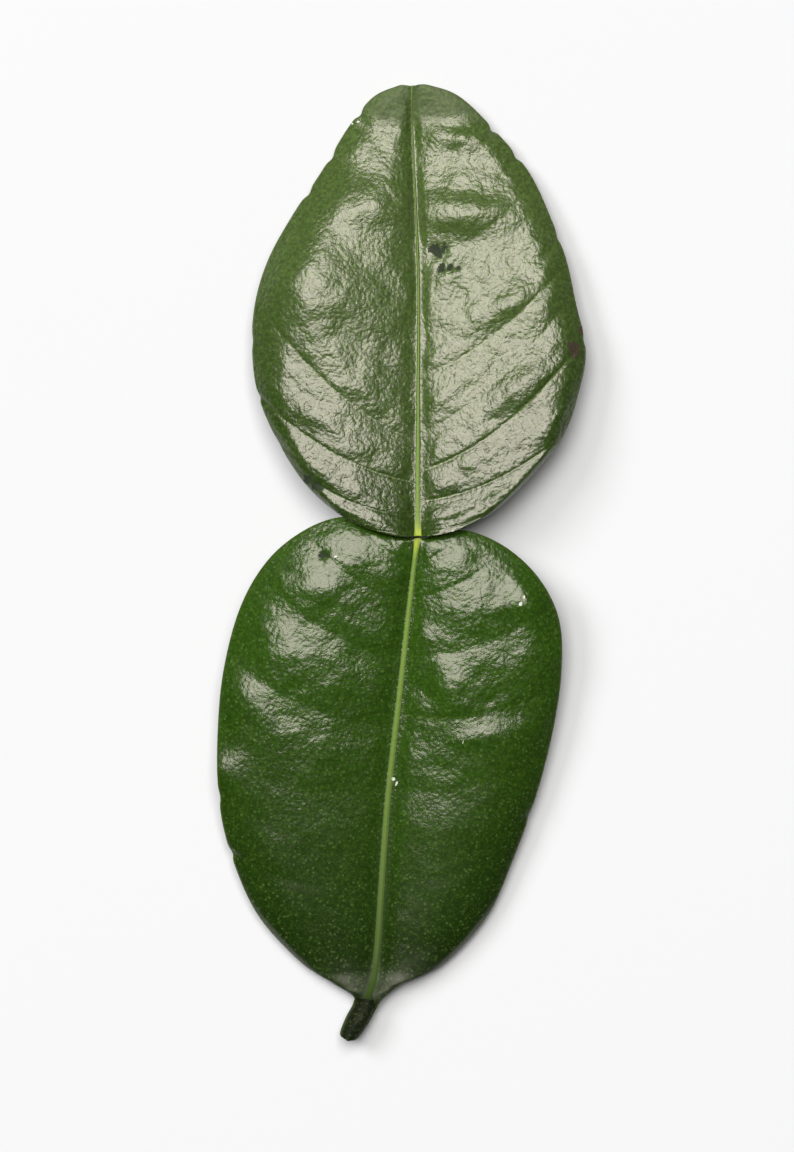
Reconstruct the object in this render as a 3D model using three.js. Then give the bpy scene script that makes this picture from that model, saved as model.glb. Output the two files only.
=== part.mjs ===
// Kaffir lime leaf (Citrus hystrix), lying glossy side up on a level surface.
// Millimetres. +Z is up, +Y runs from the stalk to the tip, +X is the leaf's right-hand side.
//
// The leaf has two parts that meet at an articulation: the blade, and the petiole, whose wings
// are almost as broad as the blade. It lies as a low bridge. The articulation is its highest
// point, the tip of the blade and the lower margins of the wings touch the surface, the stalk
// lies just clear of it, and both parts are arched from side to side with margins rolled down.
import * as THREE from 'three';

// ---- driving dimensions ----
const JOINT_HEIGHT = 6.5;       // top of the midrib at the articulation
const BLADE_LENGTH = 52.1;      // articulation to tip
const BLADE_SLOPE = 0.06;       // fall of the blade's midrib, mm per mm, at the articulation
const TIP_FALL = 2.2;           // extra fall of the midrib over the whole blade
const PETIOLE_SLOPE = 0.085;    // fall of the petiole's midrib, mm per mm
const STALK_RADIUS = 1.3;       // the bare stalk below the wings
const STALK_RISE = 2.0;         // how far the stalk bends up out of the line of the midrib
const MIDRIB_RADIUS = 0.7;      // at the articulation
const MIDRIB_RISE = 0.15;       // how far the midrib stands above the channel it lies in
const CHANNEL_DEPTH = 0.25;
const CHANNEL_HALF_WIDTH = 1.6;
const LAMINA = 0.36;            // thickness of the leaf tissue
const MARGIN = 0.26;            // thickness at the edge
const FULL_HALF_WIDTH = 19;     // half width to which the cross-section heights belong

// ---- mesh fineness ----
const ROWS_PER_STATION = 2;
const SPREAD = [0, 0.16, 0.34, 0.52, 0.7, 0.84, 0.94, 1];  // columns from the rib to the margin

// The outline. Each station is a line that leaves the midrib and runs to both margins along a
// pair of side veins: [left x, y], [midrib x, y], [right x, y] from the articulation.
const BLADE_STATIONS = [
  [[-0.8, 0.15], [0, 0.15], [0.8, 0.15]],
  [[-4.5, 0.6], [0, 0.35], [4.0, 0.7]],
  [[-8.7, 2.4], [0, 0.8], [8.1, 2.5]],
  [[-12.8, 6.0], [0, 1.6], [12.1, 6.0]],
  [[-16.1, 11.1], [0, 3.1], [16.4, 11.1]],
  [[-18.3, 16.3], [0, 5.4], [18.4, 16.3]],
  [[-19.0, 21.5], [0, 8.3], [19.3, 21.5]],
  [[-18.7, 26.7], [0.05, 11.8], [18.2, 26.7]],
  [[-17.2, 31.8], [0.05, 16.3], [17.1, 31.8]],
  [[-14.4, 37.0], [0.1, 22.1], [15.2, 37.0]],
  [[-11.0, 42.2], [0.1, 29.2], [12.7, 42.2]],
  [[-8.0, 47.2], [-0.2, 37.3], [8.4, 47.4]],
  [[-5.2, 50.6], [-0.5, 44.1], [4.7, 50.8]],
  [[-2.4, 51.9], [-0.65, 48.8], [1.4, 52.0]],
  [[-1.4, 52.05], [-0.7, 52.0], [0, 52.1]],
];
const PETIOLE_STATIONS = [
  [[-8.5, -57.6], [-8.0, -57.8], [-7.5, -58.0]],
  [[-9.05, -56.9], [-7.9, -57.3], [-6.8, -57.8]],
  [[-8.2, -55.3], [-7.0, -55.8], [-5.9, -56.3]],
  [[-7.4, -53.8], [-6.2, -54.2], [-5.0, -54.7]],
  [[-7.5, -52.8], [-5.7, -52.9], [-4.0, -53.1]],
  [[-10.0, -51.3], [-5.3, -51.9], [-1.5, -51.4]],
  [[-13.5, -49.0], [-5.0, -50.6], [3.0, -49.2]],
  [[-18.1, -44.0], [-4.6, -47.0], [8.0, -43.7]],
  [[-20.8, -38.5], [-4.3, -42.5], [11.0, -37.1]],
  [[-22.6, -32.0], [-3.9, -36.5], [13.6, -29.9]],
  [[-23.0, -23.9], [-3.4, -30.0], [15.5, -22.5]],
  [[-22.3, -15.5], [-2.7, -23.5], [16.5, -15.5]],
  [[-20.3, -8.0], [-2.0, -17.5], [16.2, -9.5]],
  [[-17.0, -2.5], [-1.4, -12.0], [13.9, -4.8]],
  [[-12.5, 1.0], [-0.9, -7.5], [10.2, -1.3]],
  [[-8.0, 2.3], [-0.5, -4.0], [6.0, 0.6]],
  [[-4.2, 1.1], [-0.2, -1.6], [3.0, 0.5]],
  [[-0.8, -0.15], [0, -0.15], [0.8, -0.15]],
];

const smooth = (from, to, x) => THREE.MathUtils.smoothstep(x, from, to);
const bell = (x, halfWidth) => Math.exp(-((x / halfWidth) ** 2));

// ---- the two parts' forms ----
// crest: height of a half's arch. drop: how far its margin hangs. roll: how late the fall comes.
const blade = {
  stations: BLADE_STATIONS,
  sweep: 0.09,                        // bow of the side veins, as a share of their length
  left: { crest: 1.25, drop: 2.0, roll: 2.6 },
  right: { crest: 1.1, drop: 1.3, roll: 4.5 },
  spine: (y) => JOINT_HEIGHT - BLADE_SLOPE * y - TIP_FALL * (Math.max(y, 0) / BLADE_LENGTH) ** 3,
  baseLift: (t) => 0.7 * (1 - smooth(0.12, 0.4, t)),
  hang: (t) => smooth(0.1, 0.42, t),
  ribRadius: (t) => MIDRIB_RADIUS * (1 - 0.75 * t),
  bare: () => 0,
};
const petiole = {
  stations: PETIOLE_STATIONS,
  sweep: 0.09,
  left: { crest: 1.2, drop: 2.7, roll: 2.4 },
  right: { crest: 1.2, drop: 2.85, roll: 2.4 },
  spine: (y) => JOINT_HEIGHT + PETIOLE_SLOPE * y + STALK_RISE * (1 - smooth(-58, -44, y)),
  baseLift: () => 0,
  hang: (t) => 1 + 0.9 * smooth(0.75, 0.9, t),
  ribRadius: (t) => THREE.MathUtils.lerp(STALK_RADIUS, MIDRIB_RADIUS, smooth(0.2, 0.5, t)),
  bare: (t) => 1 - smooth(0.17, 0.28, t),
};

// Upper side and underside at station parameter t and at share w of one half's width.
function tissue(form, side, t, w, halfWidth, y) {
  const { crest, drop, roll } = form[side];
  const share = Math.min(halfWidth / FULL_HALF_WIDTH, 1.15);
  const fromRib = w * halfWidth;
  const arch = crest * share * Math.sin(Math.PI * w ** 0.8);
  const liftedBase = form.baseLift(t) * Math.sin(0.5 * Math.PI * Math.min(3 * w, 1));
  const hanging = drop * share * form.hang(t) * w ** roll;
  const channel = CHANNEL_DEPTH * bell(fromRib, CHANNEL_HALF_WIDTH);
  const wingTop = form.spine(y) + arch + liftedBase - hanging - channel;
  const wingUnder = wingTop - THREE.MathUtils.lerp(LAMINA, MARGIN, w ** 6);

  // the midrib is a round rod in the tissue, and where the tissue ends it is the bare stalk
  const radius = form.ribRadius(t);
  const rodMid = form.spine(y) + MIDRIB_RISE - CHANNEL_DEPTH - radius;
  const top = THREE.MathUtils.lerp(wingTop, rodMid + MARGIN / 2, form.bare(t));
  const under = THREE.MathUtils.lerp(wingUnder, rodMid - MARGIN / 2, form.bare(t));
  if (fromRib >= radius) return [top, under];
  const rodHalf = Math.sqrt(radius ** 2 - fromRib ** 2);
  return [Math.max(top, rodMid + rodHalf), Math.min(under, rodMid - rodHalf)];
}

// One line of points from margin to margin, above and below.
function crossSection(form, t) {
  const [left, rib, right] = form.rails.map((rail) => rail.getPoint(t));
  const along = form.rails[1].getTangent(Math.min(Math.max(t, 0.01), 0.99)).normalize();
  const top = [];
  const under = [];
  const half = (side, edge, w) => {
    const across = new THREE.Vector2().subVectors(edge, rib);
    const width = across.length();
    const bow = form.sweep * width * 4 * w * (1 - w) * (1 - form.bare(t));
    const place = rib.clone().addScaledVector(across, w).addScaledVector(along, -bow);
    const [upper, lower] = tissue(form, side, t, w, width, place.y);
    top.push([place.x, place.y, upper]);
    under.push([place.x, place.y, lower]);
  };
  const shares = (edge) => {
    const width = edge.distanceTo(rib);
    const near = Math.min(0.8 * MIDRIB_RADIUS / width, 0.12);
    const beside = Math.min(CHANNEL_HALF_WIDTH / width, 0.3);
    return [0, near, ...SPREAD.map((s) => beside + (1 - beside) * s)];
  };
  shares(left).reverse().forEach((w) => half('left', left, w));
  shares(right).slice(1).forEach((w) => half('right', right, w));
  return { top, under };
}

// A closed skin: the upper side, the underside, the margins and a small face at each end.
function buildLobe(form, name, material) {
  form.rails = [0, 1, 2].map((i) => new THREE.SplineCurve(
    form.stations.map((station) => new THREE.Vector2(...station[i]))));
  const rows = (form.stations.length - 1) * ROWS_PER_STATION;
  const points = [];
  for (let i = 0; i <= rows; i += 1) {
    const { top, under } = crossSection(form, i / rows);
    points.push(...top, ...under.reverse());
  }
  const ring = points.length / (rows + 1);
  const faces = [];
  const quad = (a, b, c, d) => faces.push(a, b, c, a, c, d);
  for (let i = 0; i < rows; i += 1) {
    for (let j = 0; j < ring; j += 1) {
      const next = (j + 1) % ring;
      quad(i * ring + j, i * ring + next, (i + 1) * ring + next, (i + 1) * ring + j);
    }
  }
  for (let j = 0; j < ring / 2 - 1; j += 1) {
    const last = rows * ring;
    quad(j, ring - 1 - j, ring - 2 - j, j + 1);
    quad(last + j, last + j + 1, last + ring - 2 - j, last + ring - 1 - j);
  }
  const geometry = new THREE.BufferGeometry();
  geometry.setAttribute('position', new THREE.Float32BufferAttribute(points.flat(), 3));
  geometry.setIndex(faces);
  geometry.computeVertexNormals();
  const mesh = new THREE.Mesh(geometry, material);
  mesh.name = name;
  return mesh;
}

const bladeGreen = new THREE.MeshStandardMaterial({ color: 0x55803a, roughness: 0.35, metalness: 0 });
const wingGreen = new THREE.MeshStandardMaterial({ color: 0x2b5413, roughness: 0.4, metalness: 0 });

const leaf = new THREE.Group();
leaf.add(buildLobe(blade, 'leaf_blade', bladeGreen));
leaf.add(buildLobe(petiole, 'winged_petiole', wingGreen));

// The origin is on the surface, below the middle of the whole leaf.
const extent = new THREE.Box3().setFromObject(leaf);
const middle = extent.getCenter(new THREE.Vector3());
leaf.position.set(-middle.x, -middle.y, -extent.min.z);

export default leaf;
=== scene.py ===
import math

import bmesh
import bpy
import numpy as np
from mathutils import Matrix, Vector, noise


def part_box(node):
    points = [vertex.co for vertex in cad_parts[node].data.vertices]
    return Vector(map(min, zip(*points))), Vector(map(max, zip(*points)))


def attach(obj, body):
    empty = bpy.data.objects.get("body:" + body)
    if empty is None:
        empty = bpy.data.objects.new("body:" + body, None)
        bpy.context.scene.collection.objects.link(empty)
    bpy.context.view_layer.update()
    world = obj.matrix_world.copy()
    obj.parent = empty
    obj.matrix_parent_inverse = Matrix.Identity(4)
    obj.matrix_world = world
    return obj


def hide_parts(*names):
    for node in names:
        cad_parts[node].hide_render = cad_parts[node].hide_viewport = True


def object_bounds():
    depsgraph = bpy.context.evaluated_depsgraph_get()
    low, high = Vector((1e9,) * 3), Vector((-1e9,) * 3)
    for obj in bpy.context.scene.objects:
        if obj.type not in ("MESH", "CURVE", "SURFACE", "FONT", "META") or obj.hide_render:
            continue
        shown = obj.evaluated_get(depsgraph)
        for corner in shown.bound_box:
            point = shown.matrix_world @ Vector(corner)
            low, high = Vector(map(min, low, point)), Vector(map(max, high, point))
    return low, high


bl_info = {
    "name": "Kaffir lime leaf",
    "version": (1, 0, 0),
    "blender": (4, 5, 0),
    "location": "3D View > Sidebar > Leaf",
    "description": "Builds the finished surfaces of a kaffir lime leaf around its solid model",
    "category": "Add Mesh",
}

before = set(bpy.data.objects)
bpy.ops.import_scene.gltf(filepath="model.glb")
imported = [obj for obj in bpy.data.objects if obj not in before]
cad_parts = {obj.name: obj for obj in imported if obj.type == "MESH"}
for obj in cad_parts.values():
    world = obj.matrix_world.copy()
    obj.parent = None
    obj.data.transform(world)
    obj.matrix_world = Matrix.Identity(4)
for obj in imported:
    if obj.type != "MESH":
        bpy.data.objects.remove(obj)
CAD_BOX = [list(corner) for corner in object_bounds()]
MM = 0.001

# ---------------------------------------------------------------- the leaf's outline and form
# Millimetres from the articulation. +Y runs to the tip, +X is the leaf's right. Each station is
# a line that leaves the midrib and runs to both margins along a pair of side veins:
# (left margin), (midrib), (right margin).
BLADE_STATIONS = (
    ((-0.8, 0.15), (0, 0.15), (0.8, 0.15)),
    ((-4.5, 0.6), (0, 0.35), (4.0, 0.7)),
    ((-8.7, 2.4), (0, 0.8), (8.1, 2.5)),
    ((-12.8, 6.0), (0, 1.6), (12.1, 6.0)),
    ((-16.1, 11.1), (0, 3.1), (16.4, 11.1)),
    ((-18.3, 16.3), (0, 5.4), (18.4, 16.3)),
    ((-19.0, 21.5), (0, 8.3), (19.3, 21.5)),
    ((-18.7, 26.7), (0.05, 11.8), (18.2, 26.7)),
    ((-17.2, 31.8), (0.05, 16.3), (17.1, 31.8)),
    ((-14.4, 37.0), (0.1, 22.1), (15.2, 37.0)),
    ((-11.0, 42.2), (0.1, 29.2), (12.7, 42.2)),
    ((-8.0, 47.2), (-0.2, 37.3), (8.4, 47.4)),
    ((-5.2, 50.6), (-0.5, 44.1), (4.7, 50.8)),
    ((-2.4, 51.9), (-0.65, 48.8), (1.4, 52.0)),
    ((-1.4, 52.05), (-0.7, 52.0), (0, 52.1)),
)
PETIOLE_STATIONS = (
    ((-8.3, -57.85), (-8.15, -57.95), (-8.0, -58.0)),
    ((-8.9, -57.2), (-7.95, -57.5), (-7.05, -57.8)),
    ((-8.2, -55.3), (-7.0, -55.8), (-5.9, -56.3)),
    ((-7.4, -53.8), (-6.2, -54.2), (-5.0, -54.7)),
    ((-7.5, -52.8), (-5.7, -52.9), (-4.0, -53.1)),
    ((-10.0, -51.3), (-5.3, -51.9), (-1.5, -51.4)),
    ((-13.5, -49.0), (-5.0, -50.6), (3.0, -49.2)),
    ((-18.1, -44.0), (-4.6, -47.0), (8.0, -43.7)),
    ((-20.8, -38.5), (-4.3, -42.5), (11.0, -37.1)),
    ((-22.6, -32.0), (-3.9, -36.5), (13.6, -29.9)),
    ((-23.0, -23.9), (-3.4, -30.0), (15.5, -22.5)),
    ((-22.3, -15.5), (-2.7, -23.5), (16.5, -15.5)),
    ((-20.3, -8.0), (-2.0, -17.5), (16.2, -9.5)),
    ((-17.0, -2.5), (-1.4, -12.0), (13.9, -4.8)),
    ((-12.5, 1.0), (-0.9, -7.5), (10.2, -1.3)),
    ((-8.0, 2.3), (-0.5, -4.0), (6.0, 0.6)),
    ((-4.2, 1.1), (-0.2, -1.6), (3.0, 0.5)),
    ((-0.8, -0.15), (0, -0.15), (0.8, -0.15)),
)
JOINT_HEIGHT = 6.5
BLADE_SLOPE = 0.06
TIP_FALL = 2.2
PETIOLE_SLOPE = 0.085
STALK_RISE = 2.0
STALK_RADIUS = 1.3
BLADE_RIB_RADIUS = 0.62
BLADE_RIB_TAPER = 0.48
BLADE_KNOB = 0.1
STALK_NECK = 0.72           # how much thinner the midrib is than the bare stalk
PETIOLE_RIB_TAPER = 0.1
PETIOLE_KNOB = 0.2
TISSUE_MM = 0.36            # thickness of the tissue, which the solid model has too
MIDRIB_RISE = 0.15
CHANNEL_DEPTH = 0.25
CHANNEL_HALF_WIDTH = 1.6
TIP_UPTURN = 0.4           # extra rise per mm that the last 5 mm of the blade come to
SHOULDER_DIP = 0.6          # how far the wings' shoulders dip to pass below the blade
BASE_LIFT = 0.7             # how far the blade's base stands over them
MARGIN_SHARE = 0.72         # thickness at the edge, as a share of the tissue's
WET_HOLLOW = 0.25           # depth of the dark wet patches
SWEEP = 0.09                # bow of the side veins, as a share of their length


def smooth(low, high, x):
    s = np.clip((x - low) / (high - low), 0, 1)
    return s * s * (3 - 2 * s)


def bell(x, half_width):
    return np.exp(-((x / half_width) ** 2))


def spline(points, t):
    """Catmull-Rom curve through points, evenly in t from 0 to 1."""
    points = np.asarray(points, float)
    last = len(points) - 1
    place = np.clip(t, 0, 1) * last
    k = np.minimum(place.astype(int), last - 1)
    s = (place - k)[..., None]
    a, b = points[np.maximum(k - 1, 0)], points[k]
    c, d = points[k + 1], points[np.minimum(k + 2, last)]
    square = 2 * a - 5 * b + 4 * c - d
    cube = 3 * b - a - 3 * c + d
    return 0.5 * (2 * b + (c - a) * s + square * s**2 + cube * s**3)


def profile_height(profile, reach):
    """Height, as a share of the half's width, that a profile of slopes reaches at share reach."""
    at, slope = (np.array(column, float) for column in zip(*profile))
    gain = np.diff(at) * (slope[1:] + slope[:-1]) / 2
    height = np.concatenate([[0], np.cumsum(gain)])
    k = np.clip(np.searchsorted(at, reach, side="right") - 1, 0, len(at) - 2)
    run = reach - at[k]
    bend = (slope[k + 1] - slope[k]) / (at[k + 1] - at[k])
    return height[k] + slope[k] * run + 0.5 * bend * run**2


class Blade:
    node = "leaf_blade"
    stations = BLADE_STATIONS
    # outward slope of each half at shares of its width, from the midrib to the margin
    profiles = (
        ((0, 0.0), (0.08, 0.15), (0.3, 0.16), (0.5, 0.0), (0.78, -0.1), (0.87, -0.36), (1, -0.65)),
        ((0, 0.0), (0.08, 0.06), (0.45, 0.06), (0.72, -0.02), (0.85, -0.13), (0.91, -0.38), (1, -0.65)),
    )
    # side veins: (station share at the midrib, at the margin, strength), left and right
    veins = (
        ((0.14, 0.13, 0.4), (0.253, 0.245, 0.6), (0.378, 0.355, 0.8), (0.483, 0.505, 0.8),
         (0.585, 0.61, 0.5), (0.68, 0.69, 0.3), (0.785, 0.76, 0.5), (0.87, 0.85, 0.3)),
        ((0.17, 0.16, 0.5), (0.318, 0.295, 0.9), (0.408, 0.445, 1.0), (0.5, 0.52, 0.4),
         (0.6, 0.568, 1.0), (0.737, 0.695, 0.8), (0.85, 0.79, 0.7), (0.93, 0.9, 0.3)),
    )
    # (distance along the leaf, depth, half width) of the shallow notches in each margin
    notches = (
        ((10.8, 0.12, 0.7), (16.2, 0.3, 0.5), (22.6, 0.15, 0.8), (39.7, 0.28, 0.7),
         (43.9, 0.3, 0.7), (48.9, 0.34, 0.6)),
        ((22.6, 0.18, 0.7), (34.5, 0.2, 0.7), (43.9, 0.3, 0.6), (47.1, 0.36, 0.5)),
    )
    # swellings and hollows: (x, y, half length across, along, turn in degrees, height)
    swells = (
        (-12.3, 29.5, 5.5, 7.0, 0, 1.6), (-5.5, 38.6, 4.5, 2.8, 10, 0.75), (5.2, 45.9, 5.0, 1.4, -8, 0.6),
        (5.5, 37.3, 5.0, 2.3, 0, 0.85), (4.0, 30.2, 3.2, 1.4, 0, 0.3), (10.0, 26.6, 3.6, 1.5, 20, 0.34),
        (11.2, 17.0, 5.5, 1.7, 36, 0.38), (6.3, 9.1, 3.6, 1.3, 25, 0.28), (-10.5, 13.0, 3.0, 1.3, -35, 0.2),
    )
    # marks on the upper side, as (x, y, radius)
    scars = ((18.0, 21.6, 0.8), (18.9, 23.8, 0.45), (18.6, 26.0, 0.4))
    wet = ((2.1, 32.9, 0.75), (3.0, 33.1, 0.45), (2.7, 30.9, 0.5), (3.7, 31.0, 0.45), (4.6, 30.9, 0.3),
           (-11.5, 5.8, 0.6), (-12.6, 6.6, 0.5))
    # painted highlights: tiny white glints, as (x, y, radius)
    glints = ((-7.5, 47.7, 0.18), (-6.9, 47.9, 0.14), (14.4, 12.2, 0.16), (4.0, 0.6, 0.16),
              (3.4, 31.9, 0.12))

    @staticmethod
    def spine(y):
        past = np.maximum(y - 46.8, 0)
        upturn = TIP_UPTURN * past**2 / (past + 1.5)
        return JOINT_HEIGHT - BLADE_SLOPE * y - TIP_FALL * (np.maximum(y, 0) / 52.1) ** 3 + upturn

    @staticmethod
    def base_lift(t):
        return BASE_LIFT * (1 - smooth(0.12, 0.4, t))

    @staticmethod
    def shoulder_dip(t):
        return np.zeros_like(t)

    @staticmethod
    def relief_share(t):
        return np.ones_like(t)

    @staticmethod
    def dull(y):
        return smooth(46.6, 49.6, y)

    @staticmethod
    def rib_radius(t):
        return BLADE_RIB_RADIUS - BLADE_RIB_TAPER * smooth(0.0, 0.9, t) + BLADE_KNOB * bell(t, 0.05)

    @staticmethod
    def bare(t):
        return np.zeros_like(t)


class Petiole:
    node = "winged_petiole"
    stations = PETIOLE_STATIONS
    profiles = (
        ((0, 0.0), (0.08, 0.2), (0.35, 0.12), (0.6, -0.05), (0.84, -0.3), (1, -0.62)),
        ((0, 0.0), (0.08, 0.2), (0.35, 0.1), (0.6, -0.08), (0.84, -0.3), (1, -0.62)),
    )
    veins = (
        ((0.42, 0.4, 0.4), (0.5, 0.49, 0.5), (0.597, 0.575, 0.5), (0.663, 0.662, 1.0),
         (0.74, 0.745, 0.6), (0.82, 0.815, 0.6), (0.9, 0.89, 0.4)),
        ((0.42, 0.4, 0.4), (0.5, 0.49, 0.5), (0.597, 0.568, 0.5), (0.678, 0.632, 0.9),
         (0.745, 0.725, 0.7), (0.83, 0.82, 0.6), (0.9, 0.89, 0.4)),
    )
    notches = (
        ((-29.9, 0.2, 0.8), (-36.4, 0.3, 0.6)),
        ((-32.1, 0.2, 0.8),),
    )
    swells = (
        (-12.8, -5.2, 3.4, 2.6, -10, 0.4), (13.2, -7.4, 2.5, 3.2, 10, 0.8),
        (-14.5, -14.0, 5.0, 3.0, -15, 0.24), (3.6, -17.0, 1.8, 3.2, 35, 0.45),
        (15.2, -13.4, 2.8, 1.9, 20, 0.36), (-21.5, -17.9, 5.4, 2.7, -28, 0.8),
        (-25.0, -27.0, 4.2, 4.4, 0, 2.0), (10.0, -22.6, 5.5, 1.3, 10, 0.18),
    )
    scars = ()
    wet = ((-10.8, -2.2, 0.45),)
    # painted highlights: tiny white glints, as (x, y, radius)
    glints = ((-2.8, -27.9, 0.22), (-2.4, -28.3, 0.14), (11.8, -7.7, 0.2), (12.2, -7.0, 0.14),
              (-9.4, -2.3, 0.12), (-16.0, -5.5, 0.12), (5.2, -23.6, 0.13), (6.6, -34.8, 0.1))

    @staticmethod
    def spine(y):
        return JOINT_HEIGHT + PETIOLE_SLOPE * y + STALK_RISE * (1 - smooth(-56.5, -50, y))

    @staticmethod
    def base_lift(t):
        return np.zeros_like(t)

    @staticmethod
    def shoulder_dip(t):
        return SHOULDER_DIP * smooth(0.84, 0.94, t)

    @staticmethod
    def relief_share(t):
        return 0.3 + 0.7 * smooth(0.5, 0.68, t)

    @staticmethod
    def dull(y):
        return 1 - smooth(-52, -47, y)

    @staticmethod
    def rib_radius(t):
        rounded = np.sqrt(1 - (1 - np.clip(t / 0.06, 0.05, 1)) ** 2)
        rib = STALK_RADIUS - STALK_NECK * smooth(0.16, 0.27, t) - PETIOLE_RIB_TAPER * smooth(0.3, 0.9, t)
        return rounded * rib + PETIOLE_KNOB * bell(t - 1, 0.04)

    @staticmethod
    def bare(t):
        return 1 - smooth(0.17, 0.28, t)


# ---------------------------------------------------------------- sizes and colours to change
def colour(name, description, default):
    return bpy.props.FloatVectorProperty(
        name=name, description=description, default=default, size=3, min=0, max=1, subtype="COLOR")


def length(name, description, default_mm):
    return bpy.props.FloatProperty(
        name=name, description=description, default=default_mm * MM, min=0, precision=5, unit="LENGTH")


class LeafShape(bpy.types.PropertyGroup):
    """Sizes of the leaf's surface relief."""
    tissue: length("Tissue", "Thickness of the leaf tissue", TISSUE_MM)
    vein_depth: length("Vein crease", "Depth of the crease over a side vein", 0.06)
    vein_ridge: length("Vein ridge", "Height of a side vein on the underside", 0.16)
    panel_height: length("Panels", "Height of the swelling between two side veins", 0.2)
    pucker: length("Puckers", "Height of the fine puckers in the tissue", 0.09)
    rows: bpy.props.IntProperty(
        name="Rows", description="Mesh rows from end to end", default=280, min=40)
    columns: bpy.props.IntProperty(
        name="Columns", description="Mesh columns from margin to margin", default=216, min=40)


class LeafColours(bpy.types.PropertyGroup):
    """Colours of the leaf, as linear values."""
    blade: colour("Blade", "Upper side of the blade", (0.052, 0.088, 0.018))
    # painted shade: the blade's upper side is painted darker towards its base
    blade_base_shade: colour("Blade base", "Upper side of the blade near the articulation", (0.022, 0.046, 0.005))
    wing: colour("Wing", "Upper side of the petiole's wings", (0.021, 0.058, 0.003))
    # painted shade: the wings are painted darker towards the stalk
    wing_base_shade: colour("Wing base", "Upper side of the wings near the stalk", (0.006, 0.017, 0.0008))
    rib: colour("Midrib", "Midrib of the blade and upper petiole", (0.105, 0.18, 0.022))
    joint: colour("Articulation", "Knob at the articulation", (0.26, 0.32, 0.03))
    vein: colour("Side veins", "Fine lines of the side veins", (0.14, 0.18, 0.06))
    under: colour("Underside", "Dull lower side", (0.11, 0.17, 0.055))
    stalk: colour("Stalk", "Bare stalk", (0.004, 0.007, 0.0003))


class StageLook(bpy.types.PropertyGroup):
    """Floor and lights."""
    floor: colour("Floor", "Colour of the floor", (0.538, 0.543, 0.558))
    softbox: bpy.props.FloatProperty(
        name="Softbox", description="Power of the large softbox", default=220, unit="POWER")
    side: bpy.props.FloatProperty(
        name="Side light", description="Power of the light from the left", default=345, unit="POWER")


# painted shade in the grooves either side of the midrib
FLANK_SHADE_GREEN = (0.012, 0.030, 0.003)
UNDER_VEIN = (0.19, 0.25, 0.09)
UNDER_RIB = (0.20, 0.26, 0.08)
SCAR_BROWN = (0.030, 0.022, 0.010)
WET_GREEN = (0.004, 0.014, 0.002)
# colour of the painted highlights, tiny white glints
GLINT_WHITE = (0.45, 0.47, 0.42)
WAX_TINT = (1.0, 0.92, 0.85, 1)
GLAND_BUMP = 0.0001
STALK_BUMP = 0.00012
SOFTBOX_PLACE = (-0.24, 1.15, 3.6)
SOFTBOX_SIZE = (2.76, 2.38)
SOFTBOX_TINT = (1.0, 0.985, 0.95)
SIDE_PLACE = (-4.6, 2.7, 4.6)
SIDE_SIZE = (2.6, 2.6)


# ---------------------------------------------------------------- mesh of one lobe
EDGE_STEPS = 3       # columns round each margin
CROWDING = 1.15      # above 1, columns lie closer together beside the midrib
MASKS = ("dull", "scar", "wet", "glint", "rib_share", "edge_distance", "vein_line", "upper",
         "station", "bare_stalk")


def ring_columns(columns):
    """Share across (-1 left margin, +1 right) and face (+1 upper, -1 lower) of each column of the tube."""
    top = np.linspace(-1, 1, columns + 1)
    top = np.sign(top) * np.abs(top) ** CROWDING
    turn = np.linspace(1, -1, EDGE_STEPS + 2)[1:-1]
    under = np.linspace(1, -1, columns // 2 + 1)
    under = np.sign(under) * np.abs(under) ** CROWDING
    across = np.concatenate([top, np.full(EDGE_STEPS, 1.0), under, np.full(EDGE_STEPS, -1.0), top[:1]])
    face = np.concatenate([np.ones(len(top)), turn, -np.ones(len(under)), -turn, [1.0]])
    return across, face


def rails(form, t):
    """Left margin, midrib and right margin at station share t, with the notches cut in."""
    left, rib, right = (spline([station[i] for station in form.stations], t) for i in range(3))
    for edge, notches in ((left, form.notches[0]), (right, form.notches[1])):
        run = np.concatenate([[0], np.cumsum(np.linalg.norm(np.diff(edge, axis=0), axis=1))])
        order = np.argsort(edge[:, 1])
        inward = rib - edge
        inward /= np.maximum(np.linalg.norm(inward, axis=1), 1e-6)[:, None]
        for y, depth, half_width in notches:
            at = np.interp(y, edge[order, 1], run[order])
            edge += inward * (depth * bell(run - at, half_width))[:, None]
    return left, rib, right


def vein_relief(form, t, w, spacing):
    """(crease, panel, line) at station share t and share across w, from the side veins of that half."""
    crease = np.zeros_like(t)
    panel = np.zeros_like(t)
    for side, veins in ((-1, form.veins[0]), (1, form.veins[1])):
        mine = (w < 0) if side < 0 else (w >= 0)
        reach = np.abs(w)
        places = [at_rib + (at_edge - at_rib) * reach for at_rib, at_edge, _ in veins]
        for place, (_, _, strength) in zip(places, veins):
            off = (t - place) * spacing
            crease = np.where(mine, np.maximum(crease, strength * bell(off, 0.2)), crease)
        bounds = [places[0] - 0.14] + places + [places[-1] + 0.12]
        strengths = [veins[0][2]] + [v[2] for v in veins] + [veins[-1][2]]
        for low, high, s0, s1 in zip(bounds, bounds[1:], strengths, strengths[1:]):
            phase = np.clip((t - low) / (high - low), 0, 1)
            swell = 5.65 * phase * (1 - phase)**1.6 * (s0 * (1 - phase) + s1 * phase)
            panel = np.where(mine & (t >= low) & (t < high), swell, panel)
    fade = smooth(0.0, 0.12, np.abs(w)) * (1 - smooth(0.86, 1.0, np.abs(w)))
    return crease * smooth(0.0, 0.06, np.abs(w)) * (1 - smooth(0.9, 1.0, np.abs(w))), panel * fade


def swelling(form, x, y):
    """Height of the listed swellings and hollows at a point of the plan."""
    height = np.zeros_like(x)
    for cx, cy, across, along, turn, rise in form.swells:
        c, s = math.cos(math.radians(turn)), math.sin(math.radians(turn))
        u = ((x - cx) * c + (y - cy) * s) / across
        v = (-(x - cx) * s + (y - cy) * c) / along
        height += rise * np.exp(-(u * u + v * v))
    return height


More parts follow.
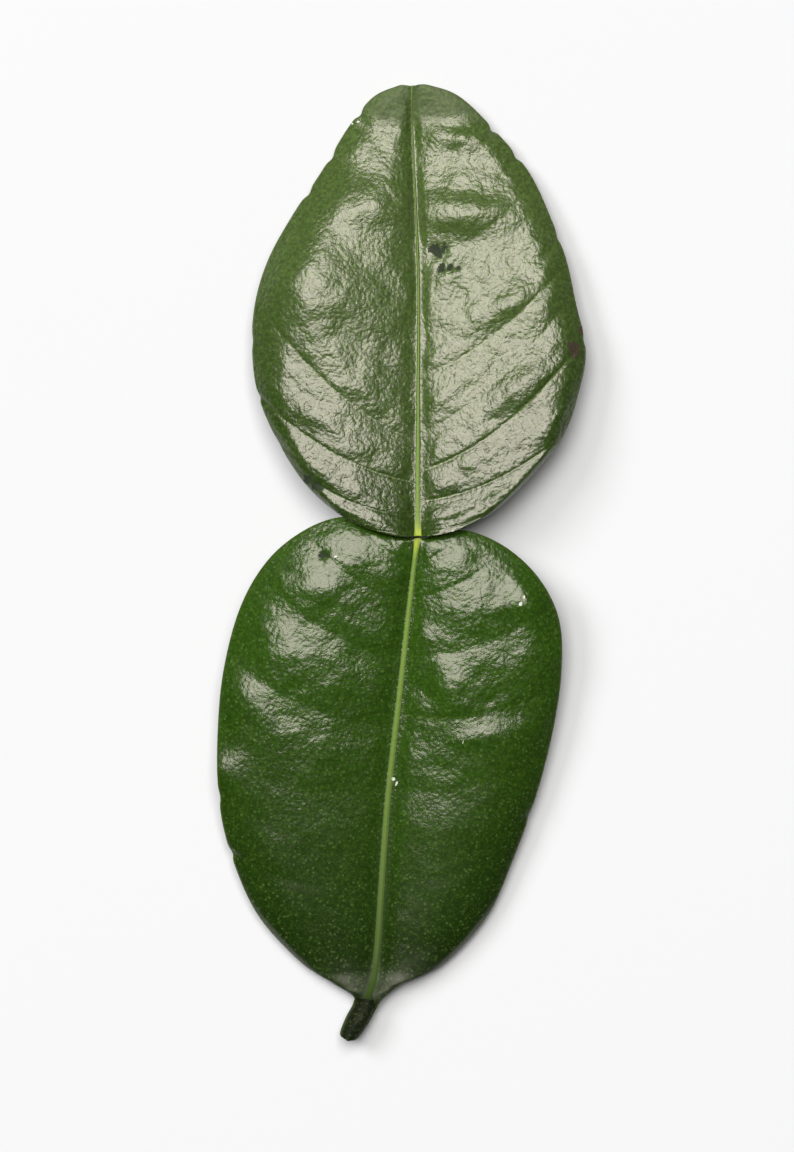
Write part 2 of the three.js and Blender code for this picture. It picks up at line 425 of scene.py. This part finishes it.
def marks(places, x, y):
    """Mask, 1 at the middle of each mark and falling off round it."""
    mask = np.zeros_like(x)
    for cx, cy, radius in places:
        mask = np.maximum(mask, bell(np.hypot(x - cx, y - cy), radius))
    return mask


def pucker_field(x, y, t, w, seed):
    """Fine uneven swelling of the tissue, drawn out along the side veins, about -1 to 1."""
    flat = np.stack([a.ravel() for a in (x, y, t * 30, w * 4)], axis=1)
    values = [
        1.6 * noise.noise(Vector((p * 0.16, q * 0.2, seed + 2)))
        + 0.7 * noise.noise(Vector((b * 0.9, d * 0.8, seed)))
        + 0.7 * noise.noise(Vector((p * 0.5, q * 0.55, seed + 5)))
        + 0.24 * noise.noise(Vector((p * 1.2, q * 1.3, seed + 9)))
        + 0.1 * noise.noise(Vector((p * 2.3, q * 2.3, seed + 14)))
        for p, q, b, d in flat
    ]
    return np.array(values).reshape(x.shape)


def lobe_surface(form, shape, t, w, face):
    """Places of the lobe's points in millimetres, and the masks that its material reads."""
    line = t[:, 0]
    left, rib, right = rails(form, line)
    edge = np.where((w < 0)[..., None], left[:, None, :], right[:, None, :])
    across = edge - rib[:, None, :]
    width = np.linalg.norm(across, axis=-1)
    along = np.gradient(rib, axis=0)
    along /= np.linalg.norm(along, axis=1)[:, None]
    reach = np.abs(w)
    bare = form.bare(t)
    bow = SWEEP * width * 4 * reach * (1 - reach) * (1 - bare)
    plan = rib[:, None, :] + across * reach[..., None] - along[:, None, :] * bow[..., None]
    x, y = plan[..., 0], plan[..., 1]

    # distance in mm from one station line to the next, to give the veins a true width
    step = np.linalg.norm(np.gradient(plan, axis=0), axis=-1)
    spacing = step / np.gradient(line)[:, None]
    from_rib = reach * width
    left_height = profile_height(form.profiles[0], reach)
    right_height = profile_height(form.profiles[1], reach)
    height = np.where(w < 0, left_height, right_height)
    tip_fade = 1 - smooth(0.93, 1.0, t) if form is Blade else 1.0
    base = form.spine(y) + height * width
    base = base + form.base_lift(t) * np.sin(0.5 * math.pi * np.minimum(3 * reach, 1))
    base = base - form.shoulder_dip(t) * reach**2.4
    base = base - CHANNEL_DEPTH * bell(from_rib, CHANNEL_HALF_WIDTH) * tip_fade

    crease, panel = vein_relief(form, t, w, spacing)
    soft = (1 - bare) * smooth(0.3, 1.6, from_rib)
    inner = 1 - smooth(0.9, 1.0, reach)
    size = np.minimum(width / 12, 1)
    puckers = pucker_field(x, y, t, w, 3.0 if form is Blade else 11.0)
    relief = panel * (1 + 0.5 * puckers) * (shape.panel_height / MM) * size
    relief = relief - crease * (shape.vein_depth / MM)
    relief = relief + puckers * (shape.pucker / MM) * (0.35 + 0.65 * inner)
    relief = relief * form.relief_share(t) + swelling(form, x, y) - WET_HOLLOW * marks(form.wet, x, y)
    top = base + relief * soft

    tissue = shape.tissue / MM
    thick = tissue * (1 + (MARGIN_SHARE - 1) * reach**6)
    ridge = (shape.vein_ridge / MM) * crease * soft
    under = top - thick - ridge
    radius = np.minimum(form.rib_radius(t), width)
    rod = np.sqrt(np.maximum(radius**2 - from_rib**2, 0))
    rod_mid = form.spine(y) + MIDRIB_RISE - CHANNEL_DEPTH - radius
    margin = tissue * MARGIN_SHARE
    top = top + (rod_mid + margin / 2 - top) * bare
    under = under + (rod_mid - margin / 2 - under) * bare
    in_rod = from_rib < radius
    top = np.where(in_rod, np.maximum(top, rod_mid + rod), top)
    under = np.where(in_rod, np.minimum(under, rod_mid - rod), under)

    middle, half = (top + under) / 2, (top - under) / 2
    z = middle + half * face
    outward = across / np.maximum(width, 1e-6)[..., None]
    bulge = np.sqrt(np.maximum(1 - face**2, 0)) * 0.45 * half * (reach > 0.999)
    x = x + outward[..., 0] * bulge
    y = y + outward[..., 1] * bulge
    masks = {
        "rib_share": from_rib / radius,
        "edge_distance": (1 - reach) * width,
        "vein_line": crease,
        "upper": (face + 1) / 2,
        "station": t,
        "bare_stalk": bare,
        "dull": form.dull(y + 1.5 * puckers),
        "scar": marks(form.scars, x, y),
        "wet": marks(form.wet, x, y),
        "glint": marks(form.glints, x, y),
    }
    return np.stack([x, y, z], axis=-1), masks


def plain_extent(form):
    """(least x, greatest x, greatest y, greatest z) of the form without relief, in millimetres."""
    t, w = np.meshgrid(np.linspace(0, 1, 120), np.linspace(-1, 1, 81), indexing="ij")
    plain = type("Plain", (), {
        "tissue": TISSUE_MM * MM, "vein_depth": 0, "vein_ridge": 0, "panel_height": 0, "pucker": 0})
    bare_form = type("BareForm", (form,), {"swells": (), "notches": ((), ())})
    points, _ = lobe_surface(bare_form, plain, t, w, np.ones_like(t))
    return points[..., 0].min(), points[..., 0].max(), points[..., 1].max(), points[..., 2].max()


def articulation_place():
    """Where the articulation's foot lies in the frame: the outline is laid into the blade's box."""
    low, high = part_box(Blade.node)
    x_min, x_max, y_max, z_max = plain_extent(Blade)
    x = (low.x + high.x) / 2 - MM * (x_min + x_max) / 2
    return Vector((x, high.y - MM * y_max, high.z - MM * z_max))


def build_lobe(form, shape, name):
    """A closed tube of the lobe: one grid joined at the left margin and closed at both ends."""
    across, face = ring_columns(shape.columns)
    columns, rows = len(across) - 1, shape.rows
    bm = bmesh.new()
    layers = {key: bm.verts.layers.float.new(key) for key in MASKS}
    uv = bm.loops.layers.uv.new("leaf")
    bmesh.ops.create_grid(bm, x_segments=columns, y_segments=rows, size=1)
    verts = list(bm.verts)
    start = np.array([v.co[:2] for v in verts])
    col = np.rint((start[:, 0] + 1) / 2 * columns).astype(int)
    row = np.rint((start[:, 1] + 1) / 2 * rows).astype(int)
    line = np.linspace(0, 1, rows + 1)
    t, w = np.meshgrid(line, across, indexing="ij")
    places, masks = lobe_surface(form, shape, t, w, np.broadcast_to(face, t.shape))
    origin = np.array(articulation_place())
    places = origin + places * MM
    for vert, c, r in zip(verts, col, row):
        vert.co = places[r, c]
    for key, layer in layers.items():
        values = masks[key][row, col]
        for vert, value in zip(verts, values):
            vert[layer] = float(value)
    steps = np.linalg.norm(np.diff(places[:, columns // 3], axis=0), axis=1)
    run = np.concatenate([[0], np.cumsum(steps)])
    index = {vert: (r, c) for vert, r, c in zip(verts, row, col)}
    for bm_face in bm.faces:
        for loop in bm_face.loops:
            r, c = index[loop.vert]
            loop[uv].uv = (0.5 + 0.02 * across[c] * (1 if face[c] > 0 else -1), run[r])
    ends = [v for v, c in zip(verts, col) if c in (0, columns)]
    bmesh.ops.remove_doubles(bm, verts=ends, dist=1e-7)
    open_edges = [e for e in bm.edges if e.is_boundary]
    bmesh.ops.holes_fill(bm, edges=open_edges, sides=0)
    bmesh.ops.recalc_face_normals(bm, faces=bm.faces)
    for bm_face in bm.faces:
        bm_face.smooth = True
    mesh = bpy.data.meshes.new(name)
    bm.to_mesh(mesh)
    bm.free()
    piece = bpy.data.objects.new(name, mesh)
    bpy.context.scene.collection.objects.link(piece)
    return piece


# ---------------------------------------------------------------- node helpers
def add_node(tree, kind, **settings):
    node = tree.nodes.new(kind)
    for key, value in settings.items():
        setattr(node, key, value)
    return node


def feed(tree, socket, value):
    """Link a socket to another, or set it to a value."""
    if isinstance(value, bpy.types.NodeSocket):
        tree.links.new(value, socket)
    elif hasattr(value, "__len__"):
        alpha = (1.0,) if len(socket.default_value) == 4 and len(value) == 3 else ()
        socket.default_value = tuple(value) + alpha
    else:
        socket.default_value = value


def maths(tree, operation, *values, clamp=False):
    node = add_node(tree, "ShaderNodeMath", operation=operation, use_clamp=clamp)
    for socket, value in zip(node.inputs, values):
        feed(tree, socket, value)
    return node.outputs[0]


def blend(tree, factor, a, b):
    node = add_node(tree, "ShaderNodeMix", data_type="RGBA", blend_type="MIX")
    feed(tree, node.inputs["Factor"], factor)
    feed(tree, node.inputs[6], a)
    feed(tree, node.inputs[7], b)
    return node.outputs[2]


def ramp(tree, value, low, high, out_low=0.0, out_high=1.0):
    node = add_node(tree, "ShaderNodeMapRange", interpolation_type="SMOOTHSTEP")
    for socket, item in zip(node.inputs, (value, low, high, out_low, out_high)):
        feed(tree, socket, item)
    return node.outputs[0]


def attribute(tree, name):
    return add_node(tree, "ShaderNodeAttribute", attribute_name=name).outputs["Fac"]


def noise_at(tree, vector, scale, detail=2.0, roughness=0.5):
    node = add_node(tree, "ShaderNodeTexNoise")
    feed(tree, node.inputs["Vector"], vector)
    node.inputs["Scale"].default_value = scale
    node.inputs["Detail"].default_value = detail
    node.inputs["Roughness"].default_value = roughness
    return node.outputs[0]


def new_group(name, inputs, outputs):
    group = bpy.data.node_groups.new(name, "ShaderNodeTree")
    for label, kind, default in inputs:
        socket = group.interface.new_socket(name=label, in_out="INPUT", socket_type=kind)
        socket.default_value = default
    for label, kind in outputs:
        group.interface.new_socket(name=label, in_out="OUTPUT", socket_type=kind)
    return group, group.nodes.new("NodeGroupInput"), group.nodes.new("NodeGroupOutput")


def place_group(tree, group, **values):
    node = add_node(tree, "ShaderNodeGroup", node_tree=group)
    for label, value in values.items():
        feed(tree, node.inputs[label.replace("_", " ")], value)
    return node


def glands_group():
    """Oil glands: pale dots a fraction of a millimetre across, and the pebbled height they give."""
    group, given, out = new_group(
        "Oil glands",
        [("Pitch", "NodeSocketFloat", 1700.0), ("Pebble", "NodeSocketFloat", 1.0)],
        [("Dots", "NodeSocketFloat"), ("Height", "NodeSocketFloat")])
    where = add_node(group, "ShaderNodeTexCoord").outputs["Object"]
    cell = add_node(group, "ShaderNodeTexVoronoi", feature="F1")
    group.links.new(where, cell.inputs["Vector"])
    group.links.new(given.outputs["Pitch"], cell.inputs["Scale"])
    dots = ramp(group, cell.outputs["Distance"], 0.33, 0.13)
    chance = maths(group, "FRACT", maths(group, "MULTIPLY", cell.outputs["Color"], 7.3))
    keep = ramp(group, chance, 0.12, 0.6)
    dots = maths(group, "MULTIPLY", dots, keep)
    fine = noise_at(group, where, 2600.0, 2.0)
    coarse = noise_at(group, where, 900.0, 2.0, 0.6)
    bump = maths(group, "ADD", maths(group, "MULTIPLY", cell.outputs["Distance"], -0.35),
                 maths(group, "ADD", maths(group, "MULTIPLY", fine, 0.7),
                       maths(group, "MULTIPLY", coarse, 0.2)))
    group.links.new(dots, out.inputs["Dots"])
    group.links.new(maths(group, "MULTIPLY", bump, given.outputs["Pebble"]), out.inputs["Height"])
    return group


def tissue_group():
    """Mottled green of the tissue: two tones, the near one a painted shade that darkens the lobe towards
    its base, cloudy patches and the darker margin.
    """
    group, given, out = new_group(
        "Leaf tissue",
        [("Far", "NodeSocketColor", (0, 0.1, 0, 1)), ("Near", "NodeSocketColor", (0, 0.1, 0, 1)),
         ("Share", "NodeSocketFloat", 0.5), ("Dots", "NodeSocketFloat", 0.0),
         ("Dot strength", "NodeSocketFloat", 0.3)],
        [("Colour", "NodeSocketColor")])
    where = add_node(group, "ShaderNodeTexCoord").outputs["Object"]
    cloud = noise_at(group, where, 110.0, 3.0, 0.55)
    share = maths(group, "ADD", given.outputs["Share"],
                  maths(group, "MULTIPLY", maths(group, "SUBTRACT", cloud, 0.5), 0.6), clamp=True)
    base = blend(group, share, given.outputs["Near"], given.outputs["Far"])
    speck = noise_at(group, where, 2100.0, 3.0, 0.65)
    light = ramp(group, speck, 0.42, 0.62, 0.25, 1.0)
    base = blend(group, light, blend(group, 0.45, base, (0, 0, 0)), base)
    bright = ramp(group, noise_at(group, where, 3300.0, 2.0), 0.52, 0.72, 0.0, 0.55)
    base = blend(group, bright, base, blend(group, 0.3, base, (0.11, 0.18, 0.03)))
    dots = maths(group, "MULTIPLY", given.outputs["Dots"], given.outputs["Dot strength"])
    base = blend(group, dots, base, blend(group, 0.32, base, (0.16, 0.26, 0.08)))
    edge = ramp(group, attribute(group, "edge_distance"), 0.35, 0.0, 0.0, 0.5)
    base = blend(group, edge, base, (0.035, 0.06, 0.008))
    group.links.new(base, out.inputs["Colour"])
    return group


def rib_group():
    """Midrib and side veins: masks for the pale rod, the painted shade in the grooves either side of it,
    and the fine lines.
    """
    group, given, out = new_group(
        "Veins", [("Line", "NodeSocketFloat", 1.0)],
        [("Rod", "NodeSocketFloat"), ("Flank shade", "NodeSocketFloat"), ("Lines", "NodeSocketFloat")])
    share = attribute(group, "rib_share")
    upper = ramp(group, attribute(group, "upper"), 0.4, 0.6)
    rod = ramp(group, share, 0.78, 0.5)
    # painted shade: a band in the grooves either side of the midrib's rod
    flank_shade = maths(group, "MULTIPLY", ramp(group, share, 0.7, 0.9), ramp(group, share, 1.35, 1.0))
    creases = ramp(group, attribute(group, "vein_line"), 0.45, 0.95)
    lines = maths(group, "MULTIPLY", creases, given.outputs["Line"])
    where = add_node(group, "ShaderNodeTexCoord").outputs["Object"]
    lines = maths(group, "MULTIPLY", lines, ramp(group, noise_at(group, where, 170.0, 2.0), 0.38, 0.6))
    group.links.new(rod, out.inputs["Rod"])
    group.links.new(maths(group, "MULTIPLY", flank_shade, upper), out.inputs["Flank shade"])
    group.links.new(lines, out.inputs["Lines"])
    return group


def marks_group():
    """Marks: masks for brown scars, dark wet patches and painted glints, tiny white painted highlights,
    with uneven outlines.
    """
    group, given, out = new_group(
        "Marks", [("Ragged", "NodeSocketFloat", 1.7)],
        [("Scar", "NodeSocketFloat"), ("Wet", "NodeSocketFloat"), ("Glint", "NodeSocketFloat")])
    where = add_node(group, "ShaderNodeTexCoord").outputs["Object"]
    uneven = maths(group, "SUBTRACT", noise_at(group, where, 1500.0, 2.0, 0.6), 0.5)
    uneven = maths(group, "MULTIPLY", uneven, given.outputs["Ragged"])
    upper = ramp(group, attribute(group, "upper"), 0.4, 0.6)
    for label, name in (("Scar", "scar"), ("Wet", "wet"), ("Glint", "glint")):
        mask = ramp(group, maths(group, "ADD", attribute(group, name), uneven), 0.32, 0.5)
        inside = ramp(group, attribute(group, name), 0.02, 0.15)
        mask = maths(group, "MULTIPLY", mask, maths(group, "MULTIPLY", inside, upper))
        group.links.new(mask, out.inputs[label])
    return group


def shared_group(name, maker):
    return bpy.data.node_groups.get(name) or maker()


def leaf_material(name, far, near, colours, share, rib_far, knob, line_strength, gloss, index,
                  dot_strength, pebble):
    """Waxy leaf surface: green tissue with glands, pale veins, and a duller, paler underside."""
    material = bpy.data.materials.new(name)
    material.use_nodes = True
    tree = material.node_tree
    shader = tree.nodes["Principled BSDF"]
    glands = place_group(tree, shared_group("Oil glands", glands_group), Pitch=1750.0,
                         Pebble=ramp(tree, attribute(tree, "station"), *pebble))
    veins = place_group(tree, shared_group("Veins", rib_group), Line=line_strength)
    spots = place_group(tree, shared_group("Marks", marks_group))
    # Near is painted shade, darkening the lobe towards its base
    tissue = place_group(tree, shared_group("Leaf tissue", tissue_group), Far=far, Near=near,
                         Share=ramp(tree, attribute(tree, "station"), *share),
                         Dots=glands.outputs["Dots"], Dot_strength=dot_strength)
    upper = ramp(tree, attribute(tree, "upper"), 0.3, 0.7)
    tone = tissue.outputs["Colour"]
    tone = blend(tree, maths(tree, "MULTIPLY", veins.outputs["Lines"], 0.55), tone, colours.vein)
    # painted shade darkens the grooves either side of the midrib
    tone = blend(tree, maths(tree, "MULTIPLY", veins.outputs["Flank shade"], 0.6), tone, FLANK_SHADE_GREEN)
    rod_colour = blend(tree, ramp(tree, attribute(tree, "station"), *rib_far[:2]), rib_far[2], rib_far[3])
    rod_colour = blend(tree, ramp(tree, attribute(tree, "station"), *knob), rod_colour, colours.joint)
    tone = blend(tree, veins.outputs["Rod"], tone, rod_colour)
    pale = blend(tree, maths(tree, "MULTIPLY", veins.outputs["Lines"], 0.8), colours.under, UNDER_VEIN)
    pale = blend(tree, ramp(tree, attribute(tree, "rib_share"), 1.05, 0.8), pale, UNDER_RIB)
    tone = blend(tree, upper, pale, tone)
    tone = blend(tree, attribute(tree, "bare_stalk"), tone, colours.stalk)
    tone = blend(tree, spots.outputs["Scar"], tone, SCAR_BROWN)
    tone = blend(tree, spots.outputs["Wet"], tone, WET_GREEN)
    # painted highlight: tiny white glints
    tone = blend(tree, spots.outputs["Glint"], tone, GLINT_WHITE)
    feed(tree, shader.inputs["Base Color"], tone)
    rough = ramp(tree, glands.outputs["Height"], -0.2, 0.9, gloss, gloss + 0.1)
    rough = maths(tree, "ADD", rough, maths(tree, "MULTIPLY", maths(tree, "SUBTRACT", 1.0, upper), 0.25))
    rough = maths(tree, "ADD", rough, maths(tree, "MULTIPLY", veins.outputs["Rod"], 0.38))
    rough = maths(tree, "ADD", rough, maths(tree, "MULTIPLY", attribute(tree, "dull"), 0.35))
    for dull, more in ((spots.outputs["Scar"], 0.15), (spots.outputs["Wet"], 0.5)):
        rough = maths(tree, "ADD", rough, maths(tree, "MULTIPLY", dull, more), clamp=True)
    feed(tree, shader.inputs["Roughness"], rough)
    shader.inputs["IOR"].default_value = index
    shader.inputs["Specular Tint"].default_value = WAX_TINT
    bump = add_node(tree, "ShaderNodeBump")
    bump.inputs["Strength"].default_value = 1.0
    bump.inputs["Distance"].default_value = GLAND_BUMP
    feed(tree, bump.inputs["Height"], glands.outputs["Height"])
    feed(tree, shader.inputs["Normal"], bump.outputs["Normal"])
    return material


def stalk_material(colours):
    """Dull dark skin of the bare stalk."""
    material = bpy.data.materials.new("stalk_skin")
    material.use_nodes = True
    tree = material.node_tree
    shader = tree.nodes["Principled BSDF"]
    # Near is the wings' painted base shade, mixed in by the cloudy noise
    tissue = place_group(tree, shared_group("Leaf tissue", tissue_group), Far=colours.stalk,
                         Near=colours.wing_base_shade, Share=1.0)
    feed(tree, shader.inputs["Base Color"], tissue.outputs["Colour"])
    glands = place_group(tree, shared_group("Oil glands", glands_group), Pitch=1300.0, Pebble=1.0)
    feed(tree, shader.inputs["Roughness"], ramp(tree, glands.outputs["Height"], -0.2, 0.9, 0.55, 0.75))
    shader.inputs["Specular IOR Level"].default_value = 0.15
    bump = add_node(tree, "ShaderNodeBump")
    bump.inputs["Distance"].default_value = STALK_BUMP
    feed(tree, bump.inputs["Height"], glands.outputs["Height"])
    feed(tree, shader.inputs["Normal"], bump.outputs["Normal"])
    return material


# ---------------------------------------------------------------- operators
class LEAF_OT_blade(bpy.types.Operator):
    """Build the blade with its veins and rolled margins"""
    bl_idname = "leaf.blade"
    bl_label = "Leaf blade"

    def execute(self, context):
        shape, colours = context.scene.leaf_shape, context.scene.leaf_colours
        piece = build_lobe(Blade, shape, "blade_surface")
        piece.data.materials.append(leaf_material(
            "blade_skin", colours.blade, colours.blade_base_shade, colours, share=(0.25, 0.75),
            rib_far=(0.3, 0.6, (0.12, 0.19, 0.03), colours.rib), knob=(0.26, 0.1),
            line_strength=0.8, gloss=0.25, index=1.62, dot_strength=0.35, pebble=(0, 1, 1.0, 1.0)))
        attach(piece, "root")
        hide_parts(Blade.node)
        return {"FINISHED"}


class LEAF_OT_petiole(bpy.types.Operator):
    """Build the winged petiole with its stalk"""
    bl_idname = "leaf.petiole"
    bl_label = "Winged petiole"

    def execute(self, context):
        shape, colours = context.scene.leaf_shape, context.scene.leaf_colours
        piece = build_lobe(Petiole, shape, "petiole_surface")
        piece.data.materials.append(leaf_material(
            "wing_skin", colours.wing, colours.wing_base_shade, colours, share=(0.28, 0.75),
            rib_far=(0.26, 0.8, (0.018, 0.042, 0.002), colours.rib), knob=(0.9, 0.98),
            line_strength=0.6, gloss=0.21, index=1.5, dot_strength=0.55, pebble=(0.45, 0.66, 0.15, 0.75)))
        piece.data.materials.append(stalk_material(colours))
        bare = piece.data.attributes["bare_stalk"].data
        for face in piece.data.polygons:
            if min(bare[v].value for v in face.vertices) > 0.5:
                face.material_index = 1
        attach(piece, "root")
        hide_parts(Petiole.node)
        return {"FINISHED"}


def aim(thing, target):
    thing.rotation_euler = (Vector(target) - thing.location).to_track_quat("-Z", "Y").to_euler()


def add_light(name, place, target, size, power, tint=(1, 1, 1)):
    data = bpy.data.lights.new(name, "AREA")
    data.shape = "RECTANGLE"
    data.size, data.size_y = size
    data.energy = power
    data.color = tint
    light = bpy.data.objects.new(name, data)
    light.location = place
    bpy.context.scene.collection.objects.link(light)
    aim(light, target)
    return light


class LEAF_OT_stage(bpy.types.Operator):
    """Set the pale floor, the soft lights and the camera that looks straight down"""
    bl_idname = "leaf.stage"
    bl_label = "Stage"

    def execute(self, context):
        look = context.scene.stage_look
        low, high = (Vector(corner) for corner in CAD_BOX)
        centre = (low + high) / 2
        bm = bmesh.new()
        bmesh.ops.create_grid(bm, x_segments=1, y_segments=1, size=3)
        mesh = bpy.data.meshes.new("floor")
        bm.to_mesh(mesh)
        bm.free()
        floor = bpy.data.objects.new("floor", mesh)
        context.scene.collection.objects.link(floor)
        material = bpy.data.materials.new("floor_paper")
        material.use_nodes = True
        shader = material.node_tree.nodes["Principled BSDF"]
        shader.inputs["Base Color"].default_value = (*look.floor, 1)
        shader.inputs["Roughness"].default_value = 0.9
        shader.inputs["Specular IOR Level"].default_value = 0.0
        mesh.materials.append(material)

        add_light("softbox", SOFTBOX_PLACE, centre, SOFTBOX_SIZE, look.softbox, SOFTBOX_TINT)
        side = add_light("side_light", SIDE_PLACE, centre, SIDE_SIZE, look.side)
        side.visible_glossy = False
        world = bpy.data.worlds.new("room")
        world.use_nodes = True
        world.node_tree.nodes["Background"].inputs["Color"].default_value = (0.05, 0.05, 0.05, 1)
        context.scene.world = world

        data = bpy.data.cameras.new("camera")
        data.sensor_width = 36.0
        distance = 0.7
        view_height = 0.1324
        data.lens = data.sensor_width * distance / view_height
        camera = bpy.data.objects.new("camera", data)
        camera.location = (centre.x - 0.52 * MM, centre.y - 1.55 * MM, distance + 0.004)
        context.scene.collection.objects.link(camera)
        context.scene.camera = camera
        context.scene.view_settings.view_transform = "Standard"
        return {"FINISHED"}


class LEAF_PT_panel(bpy.types.Panel):
    """Lists the leaf's parts and the values that can be changed"""
    bl_label = "Kaffir lime leaf"
    bl_idname = "LEAF_PT_panel"
    bl_space_type = "VIEW_3D"
    bl_region_type = "UI"
    bl_category = "Leaf"

    def draw(self, context):
        for operator in OPERATORS:
            self.layout.operator(operator.bl_idname)
        for group in (context.scene.leaf_shape, context.scene.leaf_colours, context.scene.stage_look):
            for key in group.__annotations__:
                self.layout.prop(group, key)


OPERATORS = (LEAF_OT_stage, LEAF_OT_blade, LEAF_OT_petiole)
CLASSES = (LeafShape, LeafColours, StageLook, *OPERATORS, LEAF_PT_panel)


def register():
    for item in CLASSES:
        bpy.utils.register_class(item)
    bpy.types.Scene.leaf_shape = bpy.props.PointerProperty(type=LeafShape)
    bpy.types.Scene.leaf_colours = bpy.props.PointerProperty(type=LeafColours)
    bpy.types.Scene.stage_look = bpy.props.PointerProperty(type=StageLook)


def unregister():
    for name in ("leaf_shape", "leaf_colours", "stage_look"):
        delattr(bpy.types.Scene, name)
    for item in reversed(CLASSES):
        bpy.utils.unregister_class(item)


def main():
    register()
    bpy.ops.leaf.stage()
    bpy.ops.leaf.blade()
    bpy.ops.leaf.petiole()


if __name__ == "__main__":
    main()
